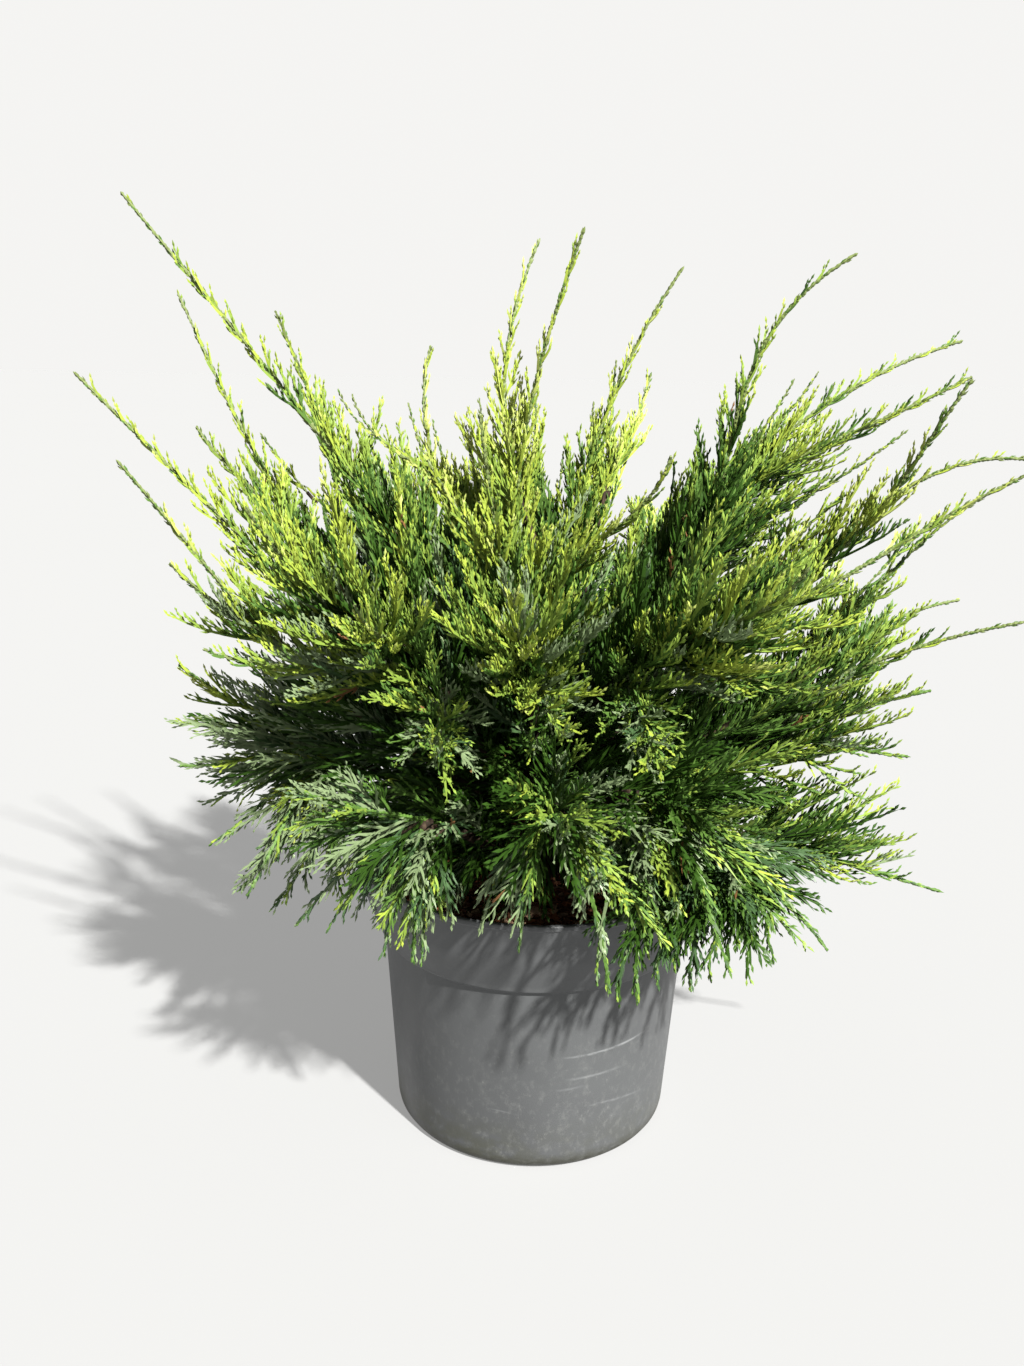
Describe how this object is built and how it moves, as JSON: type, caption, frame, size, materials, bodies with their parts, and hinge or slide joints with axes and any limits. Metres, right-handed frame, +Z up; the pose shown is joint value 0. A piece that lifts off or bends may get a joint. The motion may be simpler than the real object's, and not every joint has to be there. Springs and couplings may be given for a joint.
{
  "type": "potted sea green juniper",
  "caption": "Spreading evergreen juniper in a dark grey nursery pot: short stem, rising boughs, dense scale-leaf foliage and long whip-like leaders; stands on the pot's flat base.",
  "frame": {"origin": "centre of the pot's flat underside, on the surface that the pot stands on", "axes": "+Z up; -Y towards the front of the plant as pictured; +X to the right in that view"},
  "size_m": [0.6032, 0.4898, 0.6035],
  "materials": {
    "pot": "matte",
    "soil": "matte",
    "bark": "matte",
    "foliage_bright": "matte",
    "foliage_green": "matte",
    "foliage_blue": "matte"
  },
  "bodies": {
    "root": {"pot": "pot", "soil": "soil", "trunk": "bark", "foliage_top": "foliage_bright", "bough_top_left": "bark", "foliage_top_left": "foliage_bright", "bough_top_right": "bark", "foliage_top_right": "foliage_bright", "bough_front_top": "bark", "foliage_front_top": "foliage_bright", "bough_left_high": "bark", "foliage_left_high": "foliage_bright", "bough_left_back": "bark", "foliage_left_back": "foliage_bright", "bough_left_reach": "bark", "foliage_left_reach": "foliage_bright", "bough_left_front": "bark", "foliage_left_front": "foliage_bright", "bough_left_low": "bark", "foliage_left_low": "foliage_green", "bough_right_high": "bark", "foliage_right_high": "foliage_bright", "bough_right_back": "bark", "foliage_right_back": "foliage_bright", "bough_right_reach": "bark", "foliage_right_reach": "foliage_bright", "bough_right_mid": "bark", "foliage_right_mid": "foliage_green", "bough_right_low": "bark", "foliage_right_low": "foliage_green", "bough_right_sweep": "bark", "foliage_right_sweep": "foliage_blue", "bough_front_left": "bark", "foliage_front_left": "foliage_green", "bough_front_mid": "bark", "foliage_front_mid": "foliage_green", "bough_front_right": "bark", "foliage_front_right": "foliage_green", "bough_front_left_low": "bark", "foliage_front_left_low": "foliage_blue", "bough_front_low": "bark", "foliage_front_low": "foliage_blue", "bough_front_right_low": "bark", "foliage_front_right_low": "foliage_blue", "bough_front_right_sweep": "bark", "foliage_front_right_sweep": "foliage_blue", "bough_back_right": "bark", "foliage_back_right": "foliage_bright", "bough_back_mid": "bark", "foliage_back_mid": "foliage_bright", "bough_back_left": "bark", "foliage_back_left": "foliage_bright", "bough_back_low_right": "bark", "foliage_back_low_right": "foliage_blue", "bough_back_low": "bark", "foliage_back_low": "foliage_blue", "bough_back_low_left": "bark", "foliage_back_low_left": "foliage_blue"}
  },
  "joints": []
}
